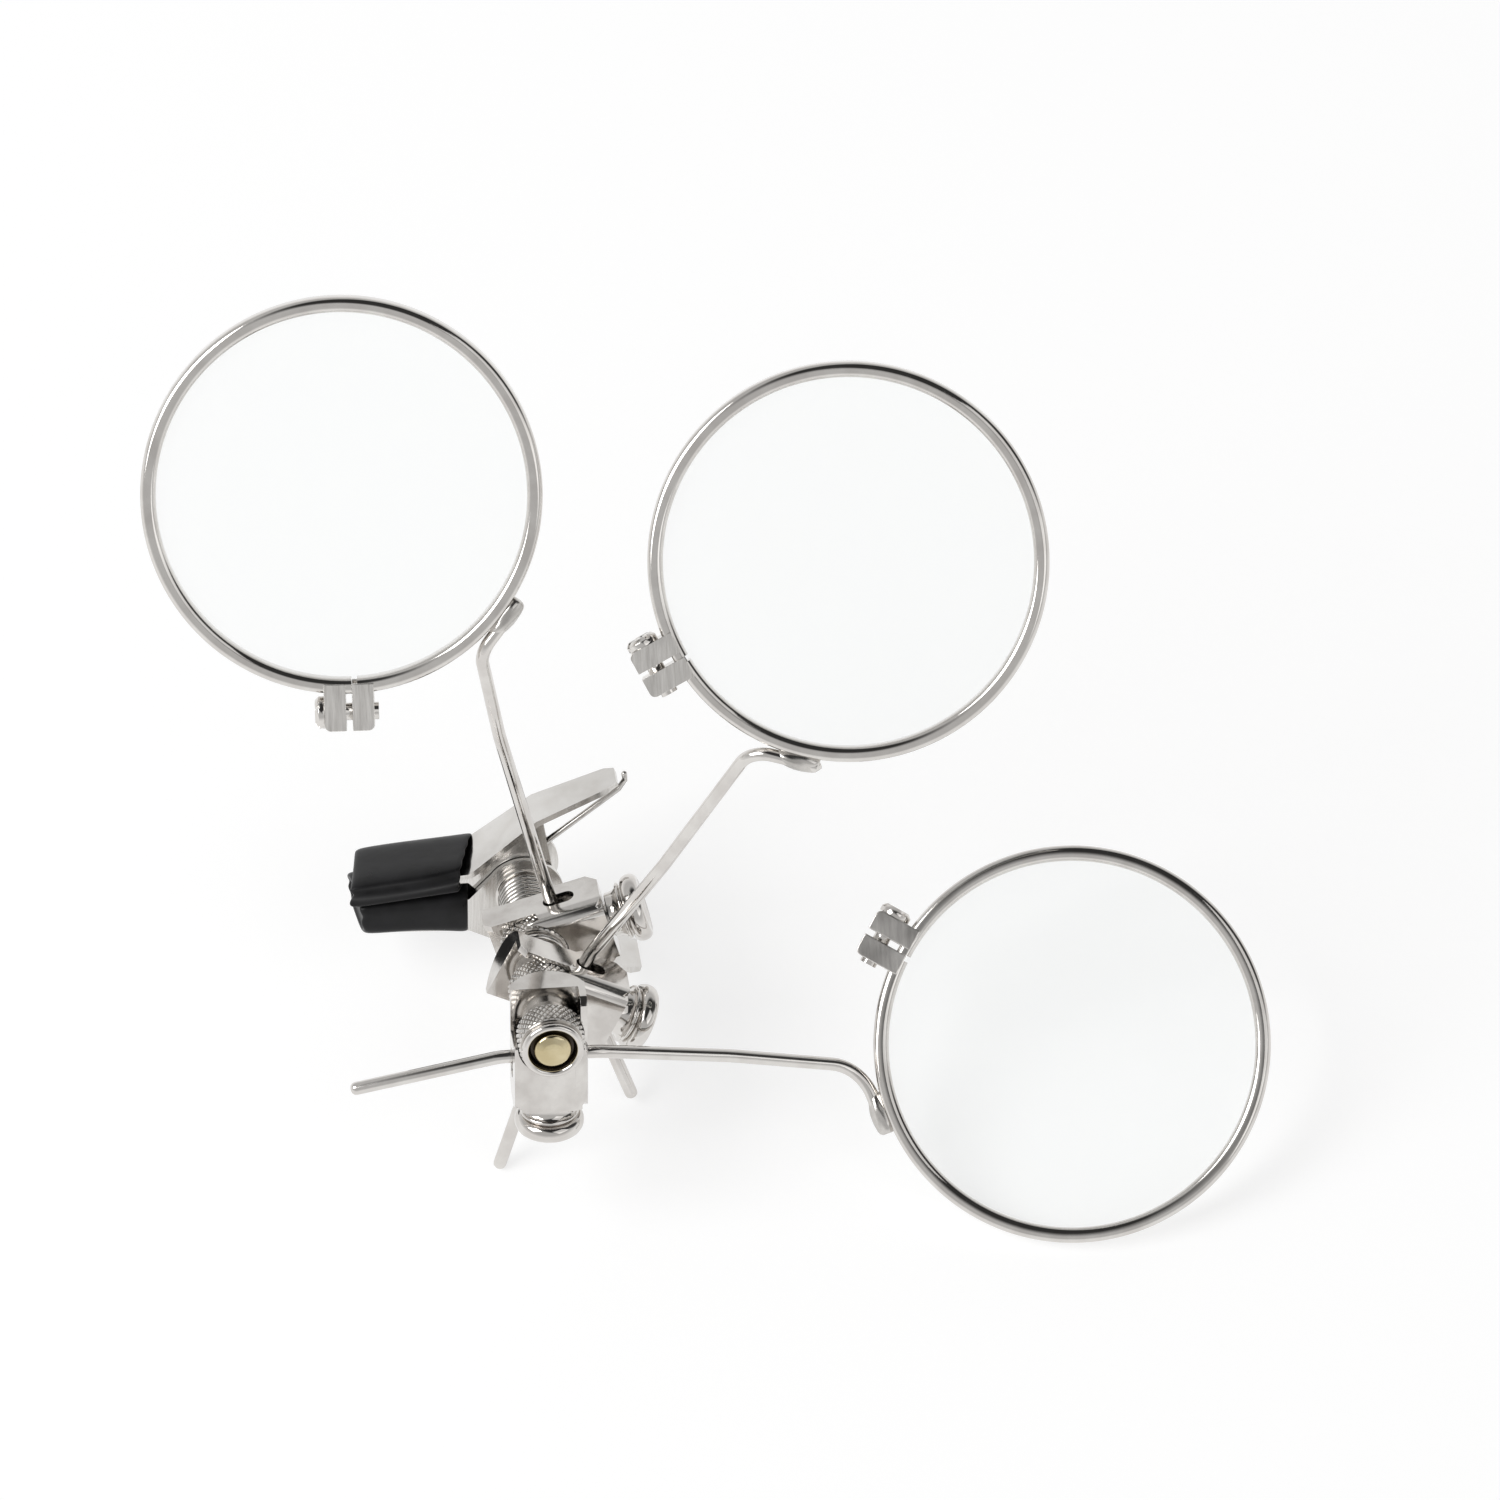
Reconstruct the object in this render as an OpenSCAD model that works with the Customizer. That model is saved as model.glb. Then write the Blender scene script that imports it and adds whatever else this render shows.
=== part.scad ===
// Clip-on triple loupe: a small spring clip carries a rod, and three brackets on the rod
// each clamp a bent wire arm with a lens in a split, screwed rim.
// The shaft frame has its origin at the front bracket's outer face on the rod's axis:
// X runs to the right, Y runs along the rod towards the clip, and Z is square to both.

/* [Lenses and rims] */
// Outside diameter of a lens rim
rim_d = 32; // [31:0.5:33]
// Width of a rim along its axis
rim_w = 2.0; // [1.8:0.1:2.4]
// Radial thickness of a rim
rim_t = 1.25; // [1.2:0.05:1.5]
// Thickness of a lens at its edge
lens_edge = 0.8; // [0.8:0.1:1.2]
// How far the front face of a lens bulges at its middle
lens_bulge = 0.7; // [0.5:0.1:1.5]
// Lean of the lens planes away from square to the rod
lens_lean = 33.5; // [28:0.5:38]
// Turn of the lens planes about the upright
lens_yaw = 6.1; // [0:0.1:10]
// Width of one closing block along the rim
block_w = 1.75; // [1.5:0.05:2]
// Height of a closing block out from the rim
block_h = 2.9; // [2.6:0.1:3.2]
// Gap between the two closing blocks of a rim
block_gap = 0.5; // [0.4:0.1:0.8]
// Head diameter of a rim screw
rim_screw_head_d = 2.6; // [2.2:0.1:2.8]

/* [Wire arms] */
// Diameter of the arm wire
wire_d = 1.0; // [0.8:0.05:1.1]
// Radius of the slight bends on both sides of each bracket
bow_r = 5; // [3:0.5:6]
// Radius of the bend beside each rim
bend_r = 2.2; // [1.8:0.1:2.8]
// Distance from the middle of the rod to the middle of a clamped wire
wire_offset = 2.45; // [2.4:0.05:2.6]

/* [Brackets] */
// Width of a bracket across its side walls
bracket_w = 6.0; // [5.8:0.1:6.4]
// Depth of a bracket along the rod, over both legs
bracket_depth = 4.0; // [4:0.1:4.2]
// Length of a bracket from the rod's axis to its screw end
bracket_reach = 6.4; // [6.2:0.1:7]
// Thickness of the bracket sheet
sheet_t = 0.55; // [0.45:0.05:0.6]
// Distance between neighbouring brackets along the rod
bracket_pitch = 6.5; // [6.4:0.1:7]
// Outside diameter of the eyelet collar on a bracket's front
collar_d = 4.66; // [4.4:0.02:4.8]
// How far an eyelet collar stands out
collar_h = 0.9; // [0.7:0.05:0.9]
// Outside diameter of a knurled bush
bush_d = 5.5; // [5.2:0.1:5.6]

/* [Thumb screws] */
// Head diameter of a thumb screw
thumb_d = 5.6; // [5.2:0.1:6]
// Thickness of a thumb screw's head at its rim
thumb_t = 1.45; // [1.2:0.05:1.6]
// Shank diameter of a thumb screw
thumb_shank_d = 2.0; // [1.8:0.1:2.2]

/* [Rod and friction spring] */
// Diameter of the rod
rod_d = 2.9; // [2.6:0.1:2.9]
// Wire diameter of the friction spring
spring_wire = 0.5; // [0.4:0.05:0.5]
// Outside diameter of the friction spring
spring_d = 4.3; // [4.1:0.1:4.5]
// Number of curls in the friction spring
spring_curls = 4; // [3:0.5:4]

/* [Clip] */
// Width of the clip along the rod
clip_w = 5.0; // [4.8:0.1:5.4]
// Thickness of the clip's sheet
clip_t = 0.5; // [0.4:0.05:0.55]
// Distance from the pivot to the tip of a jaw
jaw_len = 13.0; // [12:0.2:14]
// Length of a jaw sleeve
sleeve_len = 9.0; // [8:0.2:9.2]
// Thickness of the sleeve's wall
sleeve_t = 0.45; // [0.35:0.05:0.5]
// Width of the upper handle at its tip
handle_tip_w = 3.0; // [2.6:0.1:3.4]
// Width of the lower handle at its tip, which the clip stands on
lower_tip_w = 5.0; // [4.2:0.1:5]

/* [Hidden] */

$fn = 64;
run_gap = 0.05;      // radial clearance of a turning fit
face_gap = 0.1;      // clearance between faces that turn past each other
touch = 0.01;        // clearance of the wire from what presses on it

// Arms are numbered from the clip end of the rod: [station along the rod, bracket turn,
// tail end, lens centre, direction of the solder joint on the rim, way along the rim
// to the wire's end, length before the joint, length past it, direction of the closing blocks,
// how much more upright than lens_lean its lens is]
bracket_back = wire_d / 2 + 0.45 + sheet_t;
bracket_front = bracket_depth - bracket_back;
front_station = bracket_front;
ARMS = [
    [front_station + 2 * bracket_pitch, 16.5, [7.85, 13.2, -14.4], [-15.62, 10.17, 47.18],
        323, 1, 3.2, 1.4, 272, 10],
    [front_station + bracket_pitch, -26, [-3.5, 9.0, -17.6], [24.28, 4.46, 41.78],
        256, 1, 4.7, 2.0, 209, 6],
    [front_station, -90, [-16, 2.5, -4.75], [42.7, 6.6, -7.3],
        200, 1, 4.1, 1.3, 151, 0]
];
function station(i) = ARMS[i - 1][0];
function bracket_turn(i) = ARMS[i - 1][1];
function tail_end(i) = ARMS[i - 1][2];
function lens_centre(i) = ARMS[i - 1][3];
function joint_turn(i) = ARMS[i - 1][4];
function joint_way(i) = ARMS[i - 1][5];
function before_joint(i) = ARMS[i - 1][6];
function past_joint(i) = ARMS[i - 1][7];
function block_turn(i) = ARMS[i - 1][8];
function lean(i) = lens_lean - ARMS[i - 1][9];

// Standing pose: the object stands on the second wire's tail, the lower handle of the clip
// and the third rim, which tilts the rod down towards the clip.
rod_tilt = 26.27;
side_tilt = 2.11;
stand_at = [-14.058, -15.602, 19.684];

rim_r = rim_d / 2;
rim_inner_r = rim_r - rim_t;
lens_r = rim_inner_r + 0.35;
groove_r = lens_r;
wall_inner = bracket_w / 2 - sheet_t;
ear_hole_d = rod_d + 2 * run_gap;
bush_neck_d = 4.0;
spring_room = 5;
clip_front = front_station + 2 * bracket_pitch + bracket_back + spring_room;
clip_back = clip_front + clip_w;
washer_t = 0.3;
spring_from = clip_front - spring_room + 0.05;
spring_to = clip_front - washer_t;

// ---- vectors and paths ----
function unit(v) = v / norm(v);
function turn_xz(a) = [cos(a), 0, sin(a)];
function lens_x() = [cos(lens_yaw), -sin(lens_yaw), 0];
function lens_n(i) = [-cos(lean(i)) * sin(lens_yaw), -cos(lean(i)) * cos(lens_yaw), sin(lean(i))];
function lens_y(i) = cross(lens_n(i), lens_x());
function on_rim(i, r, a) = lens_centre(i) + r * (cos(a) * lens_x() + sin(a) * lens_y(i));
function along_rim(i) = joint_way(i) * (-sin(joint_turn(i)) * lens_x() + cos(joint_turn(i)) * lens_y(i));

// The straight corners of a wire's route, from its soldered end to its tail. It runs straight
// through its bracket and bends just outside.
wire_exit = 1.0;
function joint_point(i) = on_rim(i, rim_r + wire_d / 2 + touch, joint_turn(i));
function bend_corner(i) = joint_point(i) - before_joint(i) * along_rim(i);
function wire_tip(i) = joint_point(i) + past_joint(i) * along_rim(i);
function clamp_point(i) = [0, station(i), 0] + wire_offset * turn_xz(bracket_turn(i));
function exit_corner(i, way) =
    clamp_point(i) + way * (bracket_w / 2 + wire_exit) * turn_xz(bracket_turn(i) + 90);

// Points of a round bend of radius r at corner b, in n steps.
function bend(a, b, c, r, n) =
    let (
        d1 = unit(b - a),
        d2 = unit(c - b),
        k = acos(d1 * d2),
        start = b - r * tan(k / 2) * d1,
        out = unit((d2 - d1) - ((d2 - d1) * d1) * d1),
        centre = start + r * out
    )
    [for (j = [0:n]) centre - r * cos(k * j / n) * out + r * sin(k * j / n) * d1];

// A round-ended tube along a list of points, m-sided, its cross-section kept square to ref.
function tangent(p, j) = unit(p[min(j + 1, len(p) - 1)] - p[max(j - 1, 0)]);
function ring(c, t, r, m, ref) =
    let (n = unit(ref - (ref * t) * t), s = cross(t, n))
    [for (q = [0:m - 1]) c + r * (cos(360 * q / m) * n + sin(360 * q / m) * s)];
function end_rings(p, j, way, r, m, ref) =
    let (t = tangent(p, j))
    [for (a = way < 0 ? [75, 45, 15] : [15, 45, 75])
        ring(p[j] + way * (sin(a) - 1) * r * t, t, r * cos(a), m, ref)];
module tube(p, r, m = 16, ref = [0, 1, 0]) {
    last = len(p) - 1;
    rings = concat(
        end_rings(p, 0, -1, r, m, ref),
        [for (j = [1:last - 1]) ring(p[j], tangent(p, j), r, m, ref)],
        end_rings(p, last, 1, r, m, ref)
    );
    top = len(rings) - 1;
    points = concat([for (k = rings) each k], [p[0], p[last]]);
    faces = concat(
        [for (k = [0:top - 1], q = [0:m - 1])
            let (u = (q + 1) % m)
            each [[k * m + q, (k + 1) * m + q, k * m + u], [k * m + u, (k + 1) * m + q, (k + 1) * m + u]]],
        [for (q = [0:m - 1]) [(top + 1) * m, q, (q + 1) % m]],
        [for (q = [0:m - 1]) [(top + 1) * m + 1, top * m + (q + 1) % m, top * m + q]]
    );
    polyhedron(points, faces);
}

// Points of a coil about the Y axis, 8 to a curl.
function coil(r, y0, y1, curls, a0) =
    let (n = round(curls * 8), step = 360 * curls / n)
    [for (j = [0:n]) [r * cos(a0 + step * j), y0 + (y1 - y0) * j / n, r * sin(a0 + step * j)]];
// Least gap between the curls of a coil, measured from point to point at least half a curl apart.
function coil_gap(p, d) = min([for (i = [0:len(p) - 5], j = [i + 4:len(p) - 1]) norm(p[i] - p[j])]) - d;

// ---- frames ----
module stand() {
    translate(stand_at) rotate([-rod_tilt, side_tilt, 0]) children();
}
module at_bracket(i) {
    stand() translate([0, station(i), 0]) rotate([0, -bracket_turn(i), 0]) children();
}
module at_lens(i) {
    stand() translate(lens_centre(i)) rotate([90 - lean(i), 0, -lens_yaw]) children();
}
// A cylinder along Y, from y0 to y1.
module rod_y(d, y0, y1) {
    translate([0, y0, 0]) rotate([-90, 0, 0]) cylinder(d = d, h = y1 - y0);
}
// A plate outline in X and Z, from y0 to y1.
module plate_y(y0, y1) {
    translate([0, y1, 0]) rotate([90, 0, 0]) linear_extrude(y1 - y0) children();
}

// ---- rod and what it carries ----
module rod() {
    chamfer = 0.3;
    head_t = 0.6;
    front = -0.25;
    color("#c9b48a") stand() difference() {
        union() {
            translate([0, front, 0]) rotate([-90, 0, 0])
                cylinder(d1 = rod_d - 2 * chamfer, d2 = rod_d, h = chamfer);
            rod_y(rod_d, front + chamfer, clip_back + 0.02);
            translate([0, clip_back + 0.02, 0]) rotate([-90, 0, 0])
                cylinder(d1 = rod_d + 1.2, d2 = rod_d, h = head_t);
        }
    }
}
module clip_washer() {
    color("#c8c9cb") stand() difference() {
        rod_y(spring_d + 0.6, clip_front - washer_t, clip_front);
        rod_y(rod_d, 0, clip_back);
    }
}
module spacer(i) {
    back = station(i) - bracket_front - collar_h - face_gap;
    front = station(i) - bracket_pitch + bracket_back + face_gap;
    stand() difference() {
        rod_y(spring_d, front, back);
        rod_y(rod_d, 0, clip_back);
    }
}
module front_spacer() {
    color("#c8c9cb") spacer(2);
}
module rear_spacer() {
    color("#c8c9cb") spacer(1);
}
spring_points = coil((spring_d - spring_wire) / 2, spring_from + spring_wire / 2 + 0.02,
    spring_to - spring_wire / 2, spring_curls, 200);
echo(friction_spring_least_gap = coil_gap(spring_points, spring_wire));
module friction_spring() {
    color("#d2d3d5") stand() tube(spring_points, spring_wire / 2, 6, [0.3, 1, 0.2]);
}

// ---- brackets ----
// In a bracket's own frame X runs to its screw end, Y along the rod and Z to the lens side.
// It is folded from one sheet: a front leg, a lens-side wall, a tail-side wall and a back leg.
corner_cut = 0.9;
heel = 3.3;
slot_w = wire_d + 0.4;
// The front leg's outline in X and Z: it starts at the bush and holds its lower half.
module front_leg_outline() {
    half = bracket_w / 2;
    tip = bracket_reach;
    difference() {
        polygon([
            [0.2, -half], [tip - corner_cut, -half], [tip, corner_cut - half],
            [tip, half - corner_cut], [tip - corner_cut, half], [0.2, half]
        ]);
        circle(d = bush_d);
    }
}
// The back leg goes on past the rod to the heel.
module back_leg_outline() {
    half = bracket_w / 2;
    difference() {
        translate([-heel, -half]) square([heel + bracket_reach - 1.2, bracket_w]);
        circle(d = bush_neck_d);
    }
}
// The slot that lets the wire leave the bracket and be moved to and from the bush.
module wire_slot() {
    travel = 1.2;
    for (x = [0, travel]) translate([wire_offset + x, 0]) circle(d = slot_w);
    translate([wire_offset, -slot_w / 2]) square([travel, slot_w]);
}
// The lens-side wall narrows to a tongue beside the bush.
module lens_side_outline() {
    reach = bracket_reach;
    front = -bracket_front;
    back = bracket_back + 0.45;
    difference() {
        polygon([
            [-heel, -0.5], [-heel + 0.6, -1.1], [1.0, -1.1], [1.3, front], [reach - corner_cut, front],
            [reach, front + corner_cut], [reach, back - corner_cut], [reach - corner_cut, back],
            [2.4, back], [1.9, bracket_back], [-heel + 0.3, bracket_back], [-heel, bracket_back - 0.3]
        ]);
        wire_slot();
    }
}
module tail_side_outline() {
    reach = bracket_reach;
    difference() {
        polygon([
            [0.6, -bracket_front], [reach - corner_cut, -bracket_front],
            [reach, corner_cut - bracket_front],
            [reach, bracket_back - corner_cut], [reach - corner_cut, bracket_back], [0.6, bracket_back]
        ]);
        wire_slot();
    }
}
module bracket(i) {
    half = bracket_w / 2;
    fold_r = 1.2;
    lip_l = 1.9;
    lip_r = (half * half + lip_l * lip_l) / (2 * lip_l);
    end_t = 1.1;
    leg_from = bracket_back - sheet_t;
    color("#cfd0d2") at_bracket(i) difference() {
        union() {
            plate_y(-bracket_front, sheet_t - bracket_front) front_leg_outline();
            plate_y(leg_from, bracket_back) back_leg_outline();
            translate([0, 0, wall_inner]) linear_extrude(sheet_t) lens_side_outline();
            translate([0, 0, -half]) linear_extrude(sheet_t) tail_side_outline();
            translate([-heel, bracket_back - 0.01, -half]) cube([sheet_t, 0.2, bracket_w]);
            intersection() {
                translate([-heel, bracket_back, -half]) cube([sheet_t, lip_l, bracket_w]);
                translate([-heel - 1, bracket_back + lip_l - lip_r, 0]) rotate([0, 90, 0])
                    cylinder(r = lip_r, h = 5);
            }
            translate([bracket_reach - end_t, -bracket_front + 0.1, -wall_inner - 0.01])
                cube([end_t, bracket_front + leg_from - 0.1, 2 * wall_inner + 0.02]);
        }
        translate([wire_offset, 0, 0]) rotate([0, 90, 0])
            cylinder(d = thumb_shank_d + 2 * run_gap, h = 2 * bracket_reach);
        rod_y(bush_d, -bracket_front - 1, leg_from);
        translate([-10, fold_r - bracket_front, half - fold_r]) difference() {
            translate([0, -5, 0]) cube([20, 5, 5]);
            rotate([0, 90, 0]) cylinder(r = fold_r, h = 20);
        }
    }
}
module bracket_1() bracket(1);
module bracket_2() bracket(2);
module bracket_3() bracket(3);

// A bush fills a bracket from front to back, and its front end is rolled over as the eyelet collar.
// The notch on its screw side holds the wire.
module knurled_bush(i) {
    notch_x = wire_offset - wire_d / 2 - touch;
    knurl_to = bracket_back - sheet_t;
    color("#c4c5c8") at_bracket(i) difference() {
        union() {
            rod_y(bush_neck_d, knurl_to - 0.01, bracket_back);
            rod_y(bush_d, -bracket_front, knurl_to);
            translate([0, -bracket_front, 0]) rotate([90, 0, 0]) rotate_extrude() polygon([
                [0, -0.1], [collar_d / 2, -0.1], [collar_d / 2, collar_h - 0.3],
                [collar_d / 2 - 0.12, collar_h - 0.08], [collar_d / 2 - 0.3, collar_h], [0, collar_h]
            ]);
        }
        rod_y(rod_d + 2 * run_gap, -10, 10);
        rod_y(collar_d - 0.8, -10, -bracket_front - 0.25);
        translate([notch_x, -slot_w / 2, -10]) cube([10, slot_w, 20]);
    }
}
module knurled_bush_1() knurled_bush(1);
module knurled_bush_2() knurled_bush(2);
module knurled_bush_3() knurled_bush(3);

// Half section of a thumb screw, from its tip against the wire to its dished head.
module thumb_screw(i) {
    tip = wire_offset + wire_d / 2 + touch;
    head = bracket_reach + 1.6;
    r = thumb_d / 2;
    neck_r = 1.85;
    neck_at = bracket_reach + 0.45;
    color("#d4d5d7") at_bracket(i) rotate([0, 90, 0]) rotate_extrude() polygon(concat(
        [[0, tip], [thumb_shank_d / 2 - 0.25, tip], [thumb_shank_d / 2, tip + 0.25],
            [thumb_shank_d / 2, bracket_reach + 0.12], [neck_r, bracket_reach + 0.12]],
        [for (a = [0:15:90])
            [neck_r + 0.75 * (1 - cos(a)), neck_at + (head - neck_at) * sin(a)]],
        [for (a = [-90:22.5:90]) [r - 0.55 + 0.55 * cos(a), head + thumb_t / 2 + thumb_t / 2 * sin(a)]],
        [[r - 1.1, head + thumb_t - 0.3], [0, head + thumb_t - 0.45]]
    ));
}
module thumb_screw_1() thumb_screw(1);
module thumb_screw_2() thumb_screw(2);
module thumb_screw_3() thumb_screw(3);

// ---- arms and lenses ----
function wire_route(i) = concat(
    [tail_end(i)],
    bend(tail_end(i), exit_corner(i, -1), exit_corner(i, 1), bow_r, 4),
    bend(exit_corner(i, -1), exit_corner(i, 1), bend_corner(i), bow_r, 4),
    bend(exit_corner(i, 1), bend_corner(i), wire_tip(i), bend_r, 8),
    [wire_tip(i)]
);
module arm_wire(i) {
    color("#cdced1") stand() tube(wire_route(i), wire_d / 2, 16);
}
module arm_wire_1() arm_wire(1);
module arm_wire_2() arm_wire(2);
module arm_wire_3() arm_wire(3);

// Half section of a rim without its groove, crowned on the outside.
module rim_outline() {
    polygon([
        [rim_inner_r, -rim_w / 2], [rim_r - 0.5, -rim_w / 2], [rim_r - 0.12, -rim_w / 2 + 0.4],
        [rim_r, 0], [rim_r - 0.12, rim_w / 2 - 0.4], [rim_r - 0.5, rim_w / 2], [rim_inner_r, rim_w / 2]
    ]);
}
module rim(i) {
    color("#cbccce") at_lens(i) difference() {
        rotate_extrude($fn = 96) difference() {
            rim_outline();
            translate([0, -lens_edge / 2]) square([groove_r, lens_edge]);
        }
        rotate([0, 0, block_turn(i)]) translate([rim_r - 3, -block_gap / 2, -5]) cube([6, block_gap, 10]);
    }
}
module rim_1() rim(1);
module rim_2() rim(2);
module rim_3() rim(3);

// The lens has a flat margin where the rim's groove holds it.
module lens(i) {
    dome_r = rim_inner_r - 0.1;
    bulge_r = (dome_r * dome_r + lens_bulge * lens_bulge) / (2 * lens_bulge);
    half_angle = asin(dome_r / bulge_r);
    color("#e4efec", 0.35) at_lens(i) rotate_extrude($fn = 96) polygon(concat(
        [[0, -lens_edge / 2], [lens_r, -lens_edge / 2], [lens_r, lens_edge / 2]],
        [for (j = [6:-1:0])
            let (a = half_angle * j / 6)
            [bulge_r * sin(a), lens_edge / 2 + lens_bulge - bulge_r * (1 - cos(a))]]
    ));
}
module lens_1() lens(1);
module lens_2() lens(2);
module lens_3() lens(3);

// The blocks' screw runs along the rim's tangent, at this radius.
screw_r = rim_r + block_h * 0.52;
rim_screw_d = 1.4;
// The blocks straddle the rim and are brazed to it.
module closing_blocks(i) {
    straddle = 0.9;
    lap = 0.3;
    round_r = 0.5;
    w = rim_w + 2 * lap;
    color("#cfd0d2") at_lens(i) difference() {
        rotate([0, 0, block_turn(i)]) for (s = [0, 1]) mirror([0, s, 0])
            translate([0, block_gap / 2, 0]) difference() {
                translate([rim_r - straddle, 0, -w / 2]) cube([block_h + straddle, block_w, w]);
                translate([rim_r + block_h - round_r, block_w - round_r, -5]) difference() {
                    cube([1, 1, 10]);
                    cylinder(r = round_r, h = 10, $fn = 32);
                }
                translate([screw_r, 0, 0]) rotate([90, 0, 0])
                    cylinder(d = rim_screw_d, h = 10, center = true);
            }
        rotate_extrude($fn = 96) rim_outline();
    }
}
module closing_blocks_1() closing_blocks(1);
module closing_blocks_2() closing_blocks(2);
module closing_blocks_3() closing_blocks(3);

module rim_screw(i) {
    head_t = 0.75;
    slot = 0.32;
    tip = 0.35;
    side = block_gap / 2 + block_w;
    color("#bfc0c3") at_lens(i) rotate([0, 0, block_turn(i)]) translate([screw_r, 0, 0])
        rotate([90, 0, 0]) difference() {
            union() {
                translate([0, 0, -side - tip]) cylinder(d = rim_screw_d, h = 2 * side + tip);
                translate([0, 0, side]) cylinder(d = rim_screw_head_d, h = head_t * 0.6);
                translate([0, 0, side + head_t * 0.6])
                    cylinder(d1 = rim_screw_head_d, d2 = rim_screw_head_d - 0.6, h = head_t * 0.4);
            }
            for (a = [30, 120]) rotate([0, 0, a]) translate([-2, -slot / 2, side + head_t - 0.35])
                cube([4, slot, 1]);
        }
}
module rim_screw_1() rim_screw(1);
module rim_screw_2() rim_screw(2);
module rim_screw_3() rim_screw(3);

// A bead of solder round the wire's end, where it lies on the outside of the rim.
module solder_joint(i) {
    bead_r = wire_d / 2 + 0.22;
    bead_l = 2.0;
    color("#c2c3c6") at_lens(i) rotate([0, 0, joint_turn(i)]) difference() {
        translate([rim_r + wire_d / 2 - 0.05, bead_l / 2, 0]) rotate([90, 0, 0]) union() {
            cylinder(r = bead_r, h = bead_l);
            translate([0, 0, -0.2]) cylinder(r1 = bead_r - 0.15, r2 = bead_r, h = 0.2);
            translate([0, 0, bead_l]) cylinder(r1 = bead_r, r2 = bead_r - 0.15, h = 0.2);
        }
        cylinder(r = rim_r + 0.01, h = 5, center = true, $fn = 96);
        translate([rim_r + wire_d / 2 + touch, 0, 0]) rotate([90, 0, 0])
            cylinder(d = wire_d + 2 * touch, h = 10, center = true);
    }
}
module solder_joint_1() solder_joint(1);
module solder_joint_2() solder_joint(2);
module solder_joint_3() solder_joint(3);

// ---- clip ----
// Each half is a channel: a strip that follows a line in X and Z from the jaw's tip to the
// handle's tip, and two side walls with ears round the rod. The lower half is drawn upside down.
// Each channel bends away from the jaw just behind the sleeve.
sleeve_past = 0.6;
sleeve_end = sleeve_len - jaw_len - sleeve_past;
jaw_bend = sleeve_end + 0.1;
upper_line = [[-jaw_len, 1.5], [jaw_bend, 2.2], [1.0, 6.6], [7.6, 9.4]];
lower_line = [[-jaw_len, 2.8], [jaw_bend, 3.2], [1.0, 6.0], [9.4, 8.5]];
jaw_mid = 0.4;
ear_gap = 0.1;
upper_inset = clip_t + ear_gap;
clip_middle = (clip_front + clip_back) / 2;
module strip(points, t) {
    n = len(points) - 1;
    polygon(concat(points, [for (j = [n:-1:0])
        let (d = unit(points[min(j + 1, n)] - points[max(j - 1, 0)]))
        points[j] + t * [d[1], -d[0]]]));
}
// The strip seen from above: full width over the jaw, then tapering to the handle's tip.
module handle_taper(line, w) {
    tip = line[3][0];
    translate([0, 0, -20]) linear_extrude(40) polygon([
        [-jaw_len - 1, clip_front], [-4, clip_front], [tip - 0.8, clip_middle - w / 2],
        [tip, clip_middle - w / 2 + 0.5], [tip + 1, clip_middle - w / 2 + 0.5],
        [tip + 1, clip_middle + w / 2 - 0.5], [tip, clip_middle + w / 2 - 0.5],
        [tip - 0.8, clip_middle + w / 2], [-4, clip_back], [-jaw_len - 1, clip_back]
    ]);
}
module clip_wall(line, ear_r, jaw_z) {
    drop = clip_t / 2;
    union() {
        circle(r = ear_r);
        polygon([
            [0.4 - jaw_len, jaw_z], [jaw_bend, jaw_z], [-ear_r * 0.7, -ear_r * 0.7],
            [ear_r * 0.97, ear_r * 0.25],
            [1.6, line[2][1] - 0.4], line[2] - [0, drop], line[1] - [0, drop], line[0] + [0.4, -drop]
        ]);
    }
}
module half_clip(line, inset, ear_r, jaw_z, tip_w) {
    difference() {
        union() {
            intersection() {
                plate_y(clip_front, clip_back) strip(line, clip_t);
                handle_taper(line, tip_w);
            }
            for (y = [clip_front + inset, clip_back - inset - clip_t])
                plate_y(y, y + clip_t) clip_wall(line, ear_r, jaw_z);
        }
        rod_y(rod_d + 2 * run_gap, 0, clip_back + 5);
    }
}
module clip_upper_jaw() {
    color("#c9cacc") stand() half_clip(upper_line, upper_inset, 2.6, jaw_mid + 0.6, handle_tip_w);
}
module clip_lower_jaw() {
    color("#c9cacc") stand() mirror([0, 0, 1]) half_clip(lower_line, 0, 3.2, 0.6 - jaw_mid, lower_tip_w);
}
module sleeve(line, face_z) {
    y0 = clip_front - sleeve_t;
    y1 = clip_back + sleeve_t;
    tip = -jaw_len - sleeve_past;
    difference() {
        plate_y(y0, y1) polygon([
            [tip, face_z], [sleeve_end, face_z], [sleeve_end, line[1][1] + sleeve_t + 0.2],
            [tip, line[0][1] + sleeve_t]
        ]);
        plate_y(clip_front, clip_back) polygon([
            [-jaw_len, face_z + sleeve_t], [0, face_z + sleeve_t], [0, line[1][1]], line[1], line[0]
        ]);
    }
}
sleeve_gap = 0.3;
module upper_jaw_sleeve() {
    color("#17171a") stand() sleeve(upper_line, jaw_mid + sleeve_gap / 2);
}
module lower_jaw_sleeve() {
    color("#17171a") stand() mirror([0, 0, 1]) sleeve(lower_line, sleeve_gap / 2 - jaw_mid);
}

// The torsion spring's coil lies round the rod between the ears. One leg lies under the lower
// handle, and the other is hooked over the end of the upper one.
torsion_wire = 0.5;
torsion_r = 1.95;
torsion_side = 1.4;
upper_leg = [7.8, clip_front + 1.8, 8.5];
lower_leg = [7.0, clip_back - 1.7, -7.05];
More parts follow.
